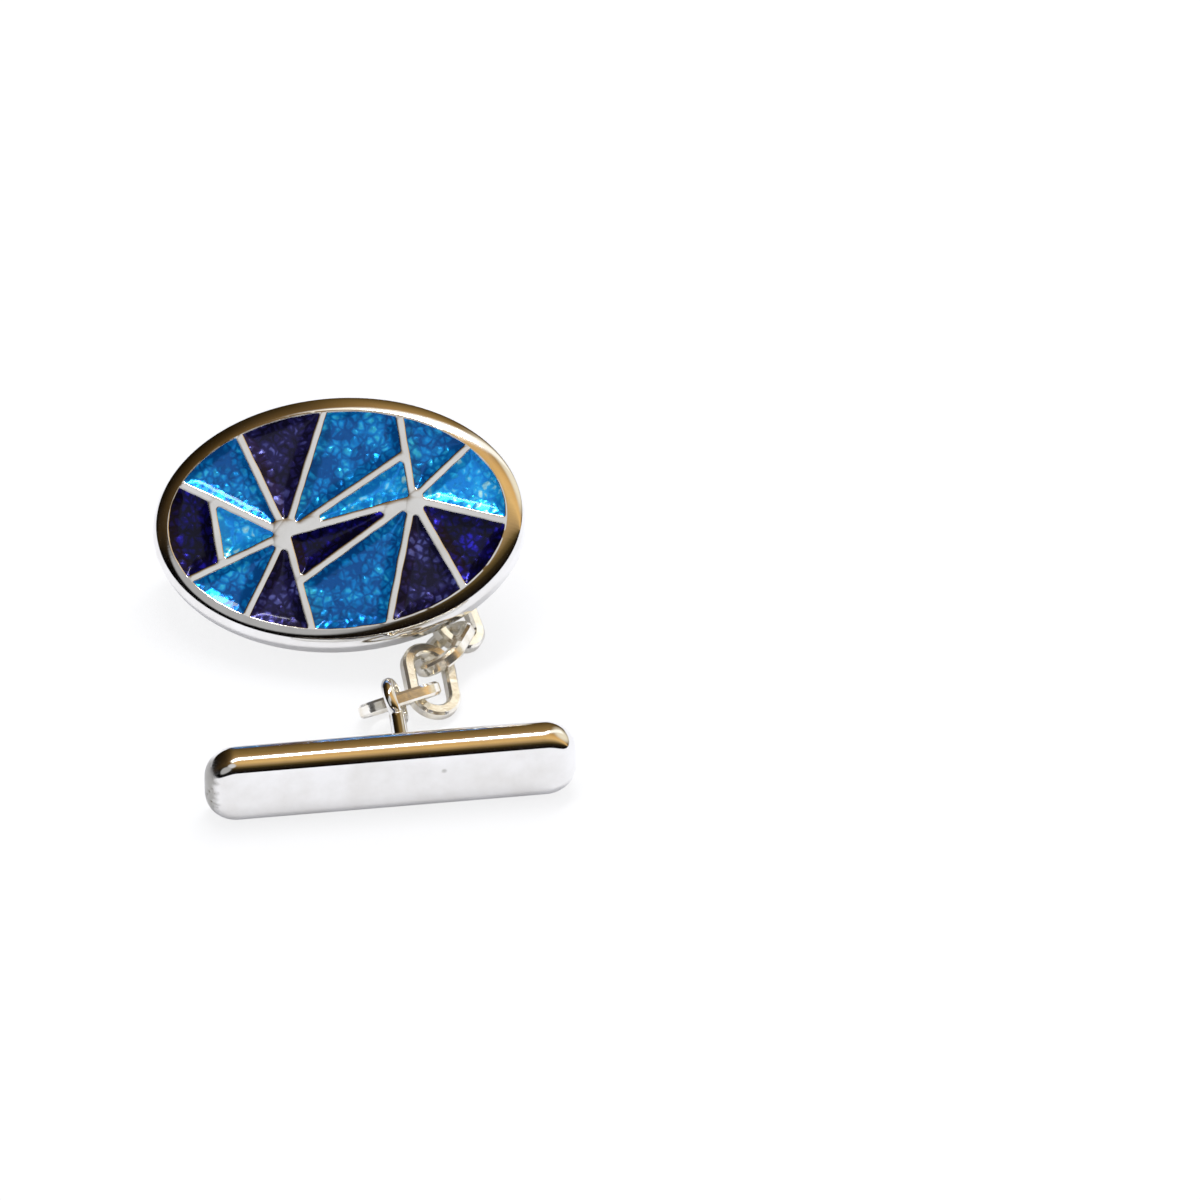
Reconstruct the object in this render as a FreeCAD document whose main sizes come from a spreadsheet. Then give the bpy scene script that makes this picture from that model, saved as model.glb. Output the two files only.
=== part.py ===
"""Chain-link cufflink: an enamelled oval head, six oval links and a bar, lying on a table.

Lengths are in millimetres and angles in degrees. +X is the viewer's right, +Y points away and +Z is up.
The origin lies on the table under the middle of the whole part.
"""
import FreeCAD
import Part
import Sketcher
import math
import os

LINK_COUNT = 6
LEAVING_LINK = "chain_link_4"

# Driving dimensions of the pieces
HEAD_SIZES = {
    "head_length": 19.0,
    "head_width": 13.0,
    "head_thickness": 1.9,
    "border_width": 0.92,
    "border_round": 0.65,
    "back_round": 0.3,
    "cell_depth": 0.6,
    "cell_corner": 0.14,
    "wall_width": 0.4,
    "enamel_dip": 0.06,
}
EYE_SIZES = {
    "eye_bore": 1.24,
    "eye_wire": 0.66,
    "post_diameter": 0.8,
    "head_post": 2.7,
    "bar_post": 2.75,
    "solder_height": 0.35,
    "solder_spread": 0.3,
    "solder_lip": 0.05,
}
LINK_SIZES = {
    "link_length": 4.4,
    "link_width": 2.9,
    "link_wire": 0.68,
    "link_thickness": 0.72,
    "link_edge_round": 0.24,
    "play": 0.07,
}
BAR_SIZES = {
    "bar_length": 18.7,
    "bar_width": 4.1,
    "bar_thickness": 2.0,
    "bar_corner": 1.6,
    "bar_edge_round": 0.75,
    "bar_eye_offset": 0.79,
}

# Two fans of straight walls divide the enamel field: hubs, wall directions and wall lengths
PATTERN_SIZES = {
    "left_hub_x": -2.6,
    "left_hub_y": -0.6,
    "right_hub_x": 3.9,
    "right_hub_y": 0.9,
    "left_top_angle": 72.0,
    "left_upper_angle": 114.0,
    "left_high_angle": 152.0,
    "left_low_angle": 203.0,
    "left_lower_angle": 243.0,
    "left_bottom_angle": 284.0,
    "right_top_angle": 98.0,
    "right_high_angle": 42.0,
    "right_low_angle": -16.0,
    "right_lower_angle": -62.0,
    "right_bottom_angle": -102.0,
    "chord_high": 4.3,
    "chord_low": 3.6,
    "brace_top": 2.4,
    "brace_bottom": 2.6,
    "reach": 8.0,
}

# How the pieces lie: heading, dip (nose down) and roll of each, and where on its parent each one hangs
POSE_SIZES = {
    "head_heading": -3.5,
    "head_dip": -6.8,
    "head_roll": 36.1,
    "head_eye_turn_angle": -104.2,
    "exit_side": 4.99,
    "exit_inset": 0.15,
    "head_eye_station_angle": 83.0,
    "link_1_heading": -42.3,
    "link_1_dip": 6.7,
    "link_1_roll": 12.9,
    "link_1_station_angle": -4.9,
    "link_1_slack": 0.15,
    "link_2_heading": -48.3,
    "link_2_dip": -4.3,
    "link_2_roll": 85.6,
    "link_2_station_angle": -19.6,
    "link_2_slack": 0.06,
    "link_3_heading": -72.0,
    "link_3_dip": 13.6,
    "link_3_roll": -21.8,
    "link_3_station_angle": -43.8,
    "link_3_slack": 0.03,
    "link_4_heading": -107.1,
    "link_4_dip": -10.3,
    "link_4_roll": 35.9,
    "link_4_station_angle": -18.2,
    "link_4_slack": 0.22,
    "link_5_heading": -79.7,
    "link_5_dip": 15.3,
    "link_5_roll": -18.3,
    "link_5_station_angle": -81.0,
    "link_5_slack": 0.31,
    "link_6_heading": -154.5,
    "link_6_dip": -0.2,
    "link_6_roll": 46.9,
    "link_6_slack": 0.28,
    "bar_station": 0.63,
    "bar_slip": 0.09,
    "bar_heading": 7.0,
    "bar_lean_angle": 0.1,
    "bar_eye_turn_angle": -20.6,
}

# Corners of each enamel cell, as hubs and points along their walls
LEFT, RIGHT = "left", "right"
CELLS = {
    "enamel_left_top": [(LEFT,), (LEFT, "top", "reach"), (LEFT, "upper", "reach")],
    "enamel_left_upper": [(LEFT,), (LEFT, "upper", "reach"), (LEFT, "high", "reach")],
    "enamel_left_inner": [(LEFT,), (LEFT, "high", "chord_high"), (LEFT, "low", "chord_low")],
    "enamel_left_edge": [
        (LEFT, "high", "chord_high"),
        (LEFT, "high", "reach"),
        (LEFT, "low", "reach"),
        (LEFT, "low", "chord_low"),
    ],
    "enamel_left_lower": [(LEFT,), (LEFT, "low", "reach"), (LEFT, "lower", "reach")],
    "enamel_left_bottom": [(LEFT,), (LEFT, "lower", "reach"), (LEFT, "bottom", "reach")],
    "enamel_middle_upper": [(LEFT,), (RIGHT,), (RIGHT, "top", "brace_top")],
    "enamel_middle_top": [
        (LEFT,),
        (RIGHT, "top", "brace_top"),
        (RIGHT, "top", "reach"),
        (LEFT, "top", "reach"),
    ],
    "enamel_middle_lower": [(LEFT,), (LEFT, "bottom", "brace_bottom"), (RIGHT,)],
    "enamel_middle_bottom": [
        (LEFT, "bottom", "brace_bottom"),
        (LEFT, "bottom", "reach"),
        (RIGHT, "bottom", "reach"),
        (RIGHT,),
    ],
    "enamel_right_top": [(RIGHT,), (RIGHT, "high", "reach"), (RIGHT, "top", "reach")],
    "enamel_right_upper": [(RIGHT,), (RIGHT, "low", "reach"), (RIGHT, "high", "reach")],
    "enamel_right_lower": [(RIGHT,), (RIGHT, "lower", "reach"), (RIGHT, "low", "reach")],
    "enamel_right_bottom": [(RIGHT,), (RIGHT, "bottom", "reach"), (RIGHT, "lower", "reach")],
}

TINY = 1e-6


def make_sheet(doc):
    """Writes every driving dimension into the spreadsheet, each under its alias."""
    sheet = doc.addObject("Spreadsheet::Sheet", "Sizes")
    row = 0
    for group in (HEAD_SIZES, EYE_SIZES, LINK_SIZES, BAR_SIZES, PATTERN_SIZES, POSE_SIZES):
        for alias, value in group.items():
            row += 1
            sheet.set(f"A{row}", alias)
            sheet.set(f"B{row}", str(value))
            sheet.setAlias(f"B{row}", alias)
    doc.recompute()
    return sheet


def value_of(sheet, expression):
    """Number that an expression of sheet aliases gives now."""
    found = sheet.evalExpression(expression.replace("Sizes.", ""))
    return float(getattr(found, "Value", found))


def origin_plane(body, role):
    """Origin plane of a body, found by its role."""
    return next(plane for plane in body.Origin.OriginFeatures if plane.Role == role)


def flat_sketch(body, name):
    """Empty sketch on the XY plane of a body."""
    sketch = body.newObject("Sketcher::SketchObject", name)
    sketch.AttachmentSupport = [(origin_plane(body, "XY_Plane"), "")]
    sketch.MapMode = "FlatFace"
    return sketch


def bind(sketch, kind, places, expression, sheet):
    """Adds a dimension to a sketch and ties it to the sheet."""
    index = sketch.addConstraint(Sketcher.Constraint(kind, *places, value_of(sheet, expression)))
    sketch.setExpression(f"Constraints[{index}]", expression)


def pad(body, sketch, name, length, midplane):
    """Pad of a sketch, either to both sides or downward from it."""
    feature = body.newObject("PartDesign::Pad", name)
    feature.Profile = sketch
    feature.setExpression("Length", length)
    feature.Midplane = midplane
    feature.Reversed = not midplane
    body.Document.recompute()
    return feature


def round_edges(body, base, name, radius, chosen):
    """Fillet of the edges of a feature that pass a test."""
    names = [f"Edge{i}" for i, edge in enumerate(base.Shape.Edges, 1) if chosen(edge)]
    feature = body.newObject("PartDesign::Fillet", name)
    feature.Base = (base, names)
    feature.setExpression("Radius", radius)
    body.Tip = feature
    body.Document.recompute()
    return feature


def is_level(edge):
    """Whether an edge keeps to one height."""
    return edge.BoundBox.ZLength < TINY


def is_upright(edge):
    """Whether an edge runs straight along Z."""
    return edge.BoundBox.XLength + edge.BoundBox.YLength < TINY


def is_on_top(edge):
    """Whether a level edge lies in the plane of its body's sketches."""
    return is_level(edge) and abs(edge.BoundBox.ZMax) < TINY


def is_below(edge):
    """Whether a level edge lies below that plane."""
    return is_level(edge) and not is_on_top(edge)


def draw_ellipse(sketch, length, width, sheet):
    """Ellipse about the sketch's origin, its long axis along X."""
    half_length, half_width = f"{length} / 2", f"{width} / 2"
    long_end = FreeCAD.Vector(value_of(sheet, half_length), 0, 0)
    short_end = FreeCAD.Vector(0, value_of(sheet, half_width), 0)
    ellipse = sketch.addGeometry(Part.Ellipse(long_end, short_end, FreeCAD.Vector()))
    sketch.exposeInternalGeometry(ellipse)
    long_axis, short_axis = ellipse + 1, ellipse + 2
    sketch.addConstraint(Sketcher.Constraint("Coincident", ellipse, 3, -1, 1))
    sketch.addConstraint(Sketcher.Constraint("Horizontal", long_axis))
    bind(sketch, "DistanceX", (-1, 1, long_axis, 1), half_length, sheet)
    bind(sketch, "DistanceY", (-1, 1, short_axis, 1), half_width, sheet)


def draw_polygon(sketch, corners, sheet):
    """Closed polygon whose corners are pairs of expressions."""
    points = [FreeCAD.Vector(value_of(sheet, x), value_of(sheet, y), 0) for x, y in corners]
    count = len(points)
    for i, point in enumerate(points):
        sketch.addGeometry(Part.LineSegment(point, points[(i + 1) % count]))
    for i in range(count):
        sketch.addConstraint(Sketcher.Constraint("Coincident", i, 2, (i + 1) % count, 1))
    for i, (x, y) in enumerate(corners):
        bind(sketch, "DistanceX", (-1, 1, i, 1), x, sheet)
        bind(sketch, "DistanceY", (-1, 1, i, 1), y, sheet)


def draw_slot(sketch, length, width, sheet):
    """Closed slot about the sketch's origin: two straight sides along X and two round ends."""
    radius = value_of(sheet, width) / 2
    reach = value_of(sheet, length) / 2 - radius
    up, quarter = FreeCAD.Vector(0, 0, 1), math.pi / 2
    right_end = Part.Circle(FreeCAD.Vector(reach, 0, 0), up, radius)
    left_end = Part.Circle(FreeCAD.Vector(-reach, 0, 0), up, radius)
    right = sketch.addGeometry(Part.ArcOfCircle(right_end, -quarter, quarter))
    left = sketch.addGeometry(Part.ArcOfCircle(left_end, quarter, 3 * quarter))
    top_ends = FreeCAD.Vector(reach, radius, 0), FreeCAD.Vector(-reach, radius, 0)
    bottom_ends = FreeCAD.Vector(-reach, -radius, 0), FreeCAD.Vector(reach, -radius, 0)
    top = sketch.addGeometry(Part.LineSegment(*top_ends))
    bottom = sketch.addGeometry(Part.LineSegment(*bottom_ends))
    for first, first_end, second, second_end in (
        (right, 2, top, 1),
        (top, 2, left, 1),
        (left, 2, bottom, 1),
        (bottom, 2, right, 1),
    ):
        sketch.addConstraint(Sketcher.Constraint("Tangent", first, first_end, second, second_end))
    sketch.addConstraint(Sketcher.Constraint("PointOnObject", right, 3, -1))
    sketch.addConstraint(Sketcher.Constraint("Symmetric", left, 3, right, 3, -1, 1))
    sketch.addConstraint(Sketcher.Constraint("Equal", left, right))
    bind(sketch, "Radius", (right,), f"({width}) / 2", sheet)
    bind(sketch, "DistanceX", (left, 3, right, 3), f"({length}) - ({width})", sheet)


def cell_corner(corner):
    """Expressions of one cell corner: a hub, or a point along one of its walls."""
    side = corner[0]
    x, y = f"Sizes.{side}_hub_x", f"Sizes.{side}_hub_y"
    if len(corner) == 1:
        return x, y
    angle, distance = f"Sizes.{side}_{corner[1]}_angle * 1 deg", f"Sizes.{corner[2]}"
    return f"{x} + {distance} * cos({angle})", f"{y} + {distance} * sin({angle})"


def make_face(doc, name, outline):
    """Plane face inside a closed outline."""
    face = doc.addObject("Part::Face", name)
    face.Sources = [outline]
    face.FaceMakerClass = "Part::FaceMakerSimple"
    return face


def offset(doc, name, source, distance, join):
    """Outline moved sideways in its plane by a bound distance."""
    moved = doc.addObject("Part::Offset2D", name)
    moved.Source = source
    moved.Join = join
    moved.setExpression("Value", distance)
    return moved


def extrude(doc, name, plan, down, up):
    """Solid from a plan, from one bound depth below it to one bound height above it."""
    solid = doc.addObject("Part::Extrusion", name)
    solid.Base = plan
    solid.DirMode = "Custom"
    solid.Dir = FreeCAD.Vector(0, 0, -1)
    solid.setExpression("LengthFwd", down)
    solid.setExpression("LengthRev", up)
    solid.Solid = True
    return solid


def make_field(doc):
    """Face of the whole enamel field inside the border."""
    edge = doc.addObject("Part::Ellipse", "field_edge")
    edge.setExpression("MajorRadius", "Sizes.head_length / 2 - Sizes.border_width")
    edge.setExpression("MinorRadius", "Sizes.head_width / 2 - Sizes.border_width")
    return make_face(doc, "field_face", edge)


def make_cell_plan(doc, sheet, name, corners, field):
    """Plan of one cell: its polygon, half a wall smaller and with rounded corners, inside the field."""
    outline = doc.addObject("Sketcher::SketchObject", f"{name}_outline")
    draw_polygon(outline, [cell_corner(corner) for corner in corners], sheet)
    face = make_face(doc, f"{name}_face", outline)
    inward = "-(Sizes.wall_width / 2 + Sizes.cell_corner)"
    sharp = offset(doc, f"{name}_sharp", face, inward, "Intersection")
    plan = doc.addObject("Part::Common", f"{name}_plan")
    plan.Base = offset(doc, f"{name}_rounded", sharp, "Sizes.cell_corner", "Arc")
    plan.Tool = field
    return plan


def make_head(doc, sheet):
    """Head plate with its sunk cells, and the enamel fills that share the cells' plans."""
    blank = doc.addObject("PartDesign::Body", "head_blank")
    outline = flat_sketch(blank, "head_outline")
    draw_ellipse(outline, "Sizes.head_length", "Sizes.head_width", sheet)
    slab = pad(blank, outline, "head_slab", "Sizes.head_thickness", midplane=False)
    back = round_edges(blank, slab, "head_back_edge", "Sizes.back_round", is_below)
    round_edges(blank, back, "head_border", "Sizes.border_round", is_on_top)

    field = make_field(doc)
    cuts, fills = [], []
    for name, corners in CELLS.items():
        plan = make_cell_plan(doc, sheet, name, corners, field)
        cuts.append(extrude(doc, f"{name}_cut", plan, "Sizes.cell_depth", "Sizes.cell_depth"))
        fills.append(extrude(doc, name, plan, "Sizes.cell_depth", "-Sizes.enamel_dip"))
    cells = doc.addObject("Part::Compound", "head_cells")
    cells.Links = cuts
    plate = doc.addObject("Part::Cut", "head_plate")
    plate.Base = blank
    plate.Tool = cells
    return [plate, *fills]


def make_eye(doc, name, post):
    """Eye: a wire ring square to local X, on a post along local Z from the face that it stands on."""
    stem = doc.addObject("Part::Cylinder", f"{name}_post")
    stem.setExpression("Radius", "Sizes.post_diameter / 2")
    stem.setExpression("Height", f"{post} + Sizes.eye_wire / 2")
    ring = doc.addObject("Part::Torus", f"{name}_ring")
    ring.setExpression("Radius1", "(Sizes.eye_bore + Sizes.eye_wire) / 2")
    ring.setExpression("Radius2", "Sizes.eye_wire / 2")
    ring.Placement.Rotation = FreeCAD.Rotation(FreeCAD.Vector(0, 1, 0), 90)
    ring.setExpression("Placement.Base.z", f"{post} + Sizes.eye_bore / 2 + Sizes.eye_wire")
    eye = doc.addObject("Part::Fuse", name)
    eye.Base = stem
    eye.Tool = ring
    return eye


def make_solder(doc, name):
    """Sloping collar of solder round the foot of a post."""
    cone = doc.addObject("Part::Cone", f"{name}_cone")
    cone.setExpression("Radius1", "Sizes.post_diameter / 2 + Sizes.solder_spread")
    cone.setExpression("Radius2", "Sizes.post_diameter / 2 + Sizes.solder_lip")
    cone.setExpression("Height", "Sizes.solder_height")
    bore = doc.addObject("Part::Cylinder", f"{name}_bore")
    bore.setExpression("Radius", "Sizes.post_diameter / 2")
    bore.setExpression("Height", "Sizes.solder_height")
    solder = doc.addObject("Part::Cut", name)
    solder.Base = cone
    solder.Tool = bore
    return solder


def make_link(doc, sheet, name):
    """Oval link of flattened wire, its length along local X and its opening along local Z."""
    body = doc.addObject("PartDesign::Body", name)
    outline = flat_sketch(body, f"{name}_outline")
    draw_slot(outline, "Sizes.link_length", "Sizes.link_width", sheet)
    bar = pad(body, outline, f"{name}_blank", "Sizes.link_thickness", midplane=True)
    opening = flat_sketch(body, f"{name}_opening")
    inner_length = "Sizes.link_length - 2 * Sizes.link_wire"
    inner_width = "Sizes.link_width - 2 * Sizes.link_wire"
    draw_slot(opening, inner_length, inner_width, sheet)
    hole = body.newObject("PartDesign::Pocket", f"{name}_hole")
    hole.Profile = opening
    hole.Type = "ThroughAll"
    hole.Midplane = True
    doc.recompute()
    if not hole.Shape.Volume < bar.Shape.Volume - TINY:
        raise RuntimeError(f"{name} has no opening")
    round_edges(body, hole, f"{name}_edges", "Sizes.link_edge_round", is_level)
    return body


def make_bar(doc, sheet):
    """Bar: length along local X, width along local Y and its outer face toward local +Z."""
    body = doc.addObject("PartDesign::Body", "bar")
    outline = flat_sketch(body, "bar_outline")
    x, y = "Sizes.bar_length / 2", "Sizes.bar_width / 2"
    draw_polygon(outline, [(f"-{x}", f"-{y}"), (x, f"-{y}"), (x, y), (f"-{x}", y)], sheet)
    block = pad(body, outline, "bar_block", "Sizes.bar_thickness", midplane=True)
    ends = round_edges(body, block, "bar_ends", "Sizes.bar_corner", is_upright)
    round_edges(body, ends, "bar_edges", "Sizes.bar_edge_round", is_level)
    return body


def turned(sheet, name):
    """Rotation of a piece from its heading, dip and roll."""
    angles = [value_of(sheet, f"Sizes.{name}_{angle}") for angle in ("heading", "dip", "roll")]
    return FreeCAD.Rotation(*angles)


def eye_placement(carrier, foot, turn):
    """Placement of an eye that stands on the back of a carrier and points away from it."""
    upside_down = FreeCAD.Rotation(FreeCAD.Vector(1, 0, 0), 180)
    about_post = FreeCAD.Rotation(FreeCAD.Vector(0, 0, 1), turn)
    return carrier * FreeCAD.Placement(foot, upside_down * about_post)


def lay_out(sheet):
    """Placements of all pieces, and the hinges between them as points and axes.

    Each piece hangs on the wire of the one before it: a seat inside its own opening meets a station on
    that wire, and the wire's direction there is the hinge axis. The eye then slides along the back of the
    head until the chain comes out from under the head's edge at its place.
    """

    def size(expression):
        return value_of(sheet, expression)

    edge_round = size("Sizes.link_edge_round")
    wire_core = size("Sizes.link_wire / 2") - edge_round, size("Sizes.link_thickness / 2") - edge_round
    link_reach = edge_round + math.hypot(*wire_core)
    ring_reach = size("Sizes.eye_wire / 2")
    play = size("Sizes.play")
    ring_radius = size("(Sizes.eye_bore + Sizes.eye_wire) / 2")
    end_radius = size("(Sizes.link_width - Sizes.link_wire) / 2")
    end_centre = size("(Sizes.link_length - Sizes.link_width) / 2")
    inner_end = size("Sizes.link_length / 2 - Sizes.link_wire")

    placements, hinges = {}, []
    head = FreeCAD.Placement(FreeCAD.Vector(), turned(sheet, "head"))
    back = FreeCAD.Vector(0, 0, -size("Sizes.head_thickness"))
    eye = eye_placement(head, back, size("Sizes.head_eye_turn_angle"))
    for name in ("head_plate", *CELLS):
        placements[name] = head
    placements["head_eye"] = eye
    placements["head_eye_solder"] = eye

    angle = math.radians(size("Sizes.head_eye_station_angle"))
    ring_height = size("Sizes.head_post + Sizes.eye_bore / 2 + Sizes.eye_wire")
    across, along = ring_radius * math.sin(angle), ring_radius * math.cos(angle)
    point = eye.multVec(FreeCAD.Vector(0, across, ring_height + along))
    axis = eye.Rotation.multVec(FreeCAD.Vector(0, math.cos(angle), -math.sin(angle)))
    for number in range(1, LINK_COUNT + 1):
        name = f"link_{number}"
        reach = ring_reach if number == 1 else link_reach
        seat = inner_end - reach - play - size(f"Sizes.{name}_slack")
        turn = turned(sheet, name)
        place = FreeCAD.Placement(point - turn.multVec(FreeCAD.Vector(-seat, 0, 0)), turn)
        placements[f"chain_{name}"] = place
        hinges.append((f"chain_{name}", point, axis))
        if number < LINK_COUNT:
            angle = math.radians(size(f"Sizes.{name}_station_angle"))
            across, along = end_radius * math.sin(angle), end_radius * math.cos(angle)
            point = place.multVec(FreeCAD.Vector(end_centre + along, across, 0))
            axis = turn.multVec(FreeCAD.Vector(-math.sin(angle), math.cos(angle), 0))
    point = place.multVec(FreeCAD.Vector(size("Sizes.bar_station"), end_radius, 0))
    axis = turn.multVec(FreeCAD.Vector(1, 0, 0))

    standing = FreeCAD.Rotation(size("Sizes.bar_heading"), 0, 90 - size("Sizes.bar_lean_angle"))
    foot = FreeCAD.Vector(size("Sizes.bar_eye_offset"), 0, -size("Sizes.bar_thickness / 2"))
    bar_ring = size("Sizes.bar_post + Sizes.eye_bore / 2 + Sizes.eye_wire")
    seat = foot - FreeCAD.Vector(0, 0, bar_ring + size("Sizes.bar_slip"))
    bar = FreeCAD.Placement(point - standing.multVec(seat), standing)
    eye = eye_placement(bar, foot, size("Sizes.bar_eye_turn_angle"))
    placements["bar"] = bar
    placements["bar_eye"] = eye
    placements["bar_eye_solder"] = eye
    hinges.append(("bar", point, axis))

    leaving = head.inverse().multVec(placements[LEAVING_LINK].Base)
    edge = size("Sizes.exit_inset - Sizes.head_width / 2")
    way_out = FreeCAD.Vector(size("Sizes.exit_side"), edge, leaving.z)
    slide = FreeCAD.Placement(head.Rotation.multVec(way_out - leaving), FreeCAD.Rotation())
    for name in placements.keys() - {"head_plate", *CELLS}:
        placements[name] = slide * placements[name]
    hinges = [(name, slide.multVec(point), axis) for name, point, axis in hinges]
    return placements, hinges


def check(pieces):
    """Stops on a feature that failed or on a shape that is empty or not valid."""
    for item in pieces[0].Document.Objects:
        if "Invalid" in item.State or "Error" in item.State:
            raise RuntimeError(f"{item.Label}: {item.State}")
    for piece in pieces:
        if piece.Shape.isNull() or not piece.Shape.isValid():
            raise RuntimeError(f"{piece.Label}: its shape is empty or not valid")


def main():
    """Builds, places, checks and writes the pieces, and gives back the hinges."""
    doc = FreeCAD.newDocument("cufflink")
    sheet = make_sheet(doc)
    pieces = make_head(doc, sheet)
    for carrier in ("head", "bar"):
        pieces.append(make_eye(doc, f"{carrier}_eye", f"Sizes.{carrier}_post"))
        pieces.append(make_solder(doc, f"{carrier}_eye_solder"))
    for number in range(1, LINK_COUNT + 1):
        pieces.append(make_link(doc, sheet, f"chain_link_{number}"))
    pieces.append(make_bar(doc, sheet))
    doc.recompute()

    placements, hinges = lay_out(sheet)
    for piece in pieces:
        piece.Label = piece.Name
        piece.Placement = placements[piece.Name]
    doc.recompute()
    check(pieces)
    box = Part.makeCompound([piece.Shape for piece in pieces]).optimalBoundingBox(False)
    underside = FreeCAD.Vector(box.Center.x, box.Center.y, box.ZMin)
    to_table = FreeCAD.Placement(-underside, FreeCAD.Rotation())
    for piece in pieces:
        piece.Placement = to_table * piece.Placement
    doc.recompute()
    check(pieces)

    os.makedirs("parts", exist_ok=True)
    for piece in pieces:
        piece.Shape.exportStep(f"parts/{piece.Label}.step")
    print(f"{len(pieces)} pieces, {box.XLength:.2f} x {box.YLength:.2f} x {box.ZLength:.2f} mm")
    return [(name, to_table.multVec(point), axis) for name, point, axis in hinges]


HINGES = main()
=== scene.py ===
"""Dresses the chain-link cufflink: polished silver, fired blue enamel and a white studio floor.

Every piece is built in its own frame in millimetres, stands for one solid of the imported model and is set
where that solid lies. Angles are in degrees unless a name says otherwise.
"""
import logging
import math
from dataclasses import dataclass, field
from enum import Enum

import bmesh
import bpy
import numpy as np
from mathutils import Matrix, Vector, noise
from mathutils.geometry import delaunay_2d_cdt


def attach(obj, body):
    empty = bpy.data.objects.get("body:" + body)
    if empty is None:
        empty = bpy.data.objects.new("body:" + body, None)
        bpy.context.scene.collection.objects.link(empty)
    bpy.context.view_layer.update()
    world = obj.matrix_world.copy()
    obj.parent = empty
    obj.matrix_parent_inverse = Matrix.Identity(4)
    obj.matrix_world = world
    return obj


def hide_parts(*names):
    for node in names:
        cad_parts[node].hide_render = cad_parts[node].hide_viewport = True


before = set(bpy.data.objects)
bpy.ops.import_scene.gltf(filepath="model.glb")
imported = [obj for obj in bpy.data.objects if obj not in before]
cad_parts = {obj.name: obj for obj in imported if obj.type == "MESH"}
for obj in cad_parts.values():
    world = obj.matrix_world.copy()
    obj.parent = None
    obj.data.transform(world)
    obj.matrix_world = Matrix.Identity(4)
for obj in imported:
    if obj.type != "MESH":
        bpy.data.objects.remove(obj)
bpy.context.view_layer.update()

LOG = logging.getLogger("cufflink")
MM = 0.001
PHOTO_PIXELS = 1200
# Points this near become one, and outer skins stay this far inside their solids
WELD_MM = 1e-4
SKIN_MM = 0.003
# Points of a solid that agree to this many digits are the same corner
KEY_DIGITS = 4
# Inner points of a filled outline keep this share of their spacing from its edge
EDGE_CLEAR = 0.6
# Blender's mode of triangulation that keeps what lies inside the outline
FILL_INSIDE = 1
# Keeps a side without length from dividing by zero
TINY = 1e-12
CAST_SKIN = "cast_skin"
CORNERS = ((1, 1), (-1, 1), (-1, -1), (1, -1))

Point2 = tuple[float, float]
Point3 = tuple[float, float, float]
Faces = list[tuple[int, ...]]
Shell = tuple[list[Point3], Faces]
Stops = tuple[tuple[float, str], ...]
Finish = bpy.types.Material
Node = bpy.types.Node
Socket = bpy.types.NodeSocket
Tree = bpy.types.NodeTree


def linear(colour: str) -> tuple[float, float, float, float]:
    """Turns an sRGB hex colour into linear values.

    Args:
        colour: Six hex digits.

    Returns:
        Red, green, blue and an alpha of one.
    """
    parts = [int(colour[i:i + 2], 16) / 255 for i in (0, 2, 4)]
    steps = [c / 12.92 if c <= 0.04045 else ((c + 0.055) / 1.055) ** 2.4 for c in parts]
    return steps[0], steps[1], steps[2], 1.0


def add_node(tree: Tree, kind: str, links: dict | None = None, **settings) -> Node:
    """Adds a node, sets it and links its inputs.

    Args:
        tree: The tree that gets the node.
        kind: Blender's name of the node type, without the ShaderNode at its start.
        links: Input name or number to a node, whose first output is meant, an output socket or a plain value.
        settings: Properties of the node itself.

    Returns:
        The new node.
    """
    node = tree.nodes.new(f"ShaderNode{kind}")
    for name, value in settings.items():
        setattr(node, name, value)
    for name, value in (links or {}).items():
        source = value.outputs[0] if isinstance(value, Node) else value
        if isinstance(source, Socket):
            tree.links.new(source, node.inputs[name])
        else:
            node.inputs[name].default_value = source
    return node


def set_ramp(ramp: Node, stops: Stops) -> None:
    """Gives a colour ramp its stops.

    Args:
        ramp: A colour ramp node.
        stops: Places from 0 to 1 with sRGB hex colours, in order.
    """
    elements = ramp.color_ramp.elements
    while len(elements) < len(stops):
        elements.new(0.5)
    for element, (place, colour) in zip(elements, stops):
        element.position = place
        element.color = linear(colour)


def new_material(name: str) -> tuple[Finish, Tree]:
    """Makes an empty node material.

    Args:
        name: The material's name.

    Returns:
        The material and its tree.
    """
    material = bpy.data.materials.new(name)
    material.use_nodes = True
    material.node_tree.nodes.clear()
    return material, material.node_tree


def add_object(name: str, data: bpy.types.ID) -> bpy.types.Object:
    """Adds an object to the scene.

    Args:
        name: Name of the object.
        data: Its mesh, light or camera.

    Returns:
        The new object.
    """
    made = bpy.data.objects.new(name, data)
    bpy.context.scene.collection.objects.link(made)
    return made


def per_metre(size_mm: float) -> float:
    """Texture scale that makes one cell of a pattern as wide as the given size."""
    return 1 / (size_mm * MM)


class Blue(Enum):
    """The four glass colours, each with the tones of its depths, body and sparkle; the sparkle is a painted
    glint, a pale highlight painted into the glass.
    """

    NAVY = ("06051e", "0e0b54", "2c26d0")
    VIOLET = ("13112c", "252258", "646ab4")
    AZURE = ("064f94", "0880ce", "3cc6ec")
    SKY = ("1486de", "26b4f8", "c4f8f0")


CELL_BLUES = {
    "left_top": Blue.VIOLET,
    "left_upper": Blue.AZURE,
    "left_inner": Blue.SKY,
    "left_edge": Blue.NAVY,
    "left_lower": Blue.AZURE,
    "left_bottom": Blue.VIOLET,
    "middle_upper": Blue.SKY,
    "middle_top": Blue.AZURE,
    "middle_lower": Blue.NAVY,
    "middle_bottom": Blue.AZURE,
    "right_top": Blue.AZURE,
    "right_upper": Blue.SKY,
    "right_lower": Blue.NAVY,
    "right_bottom": Blue.VIOLET,
}


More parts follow.
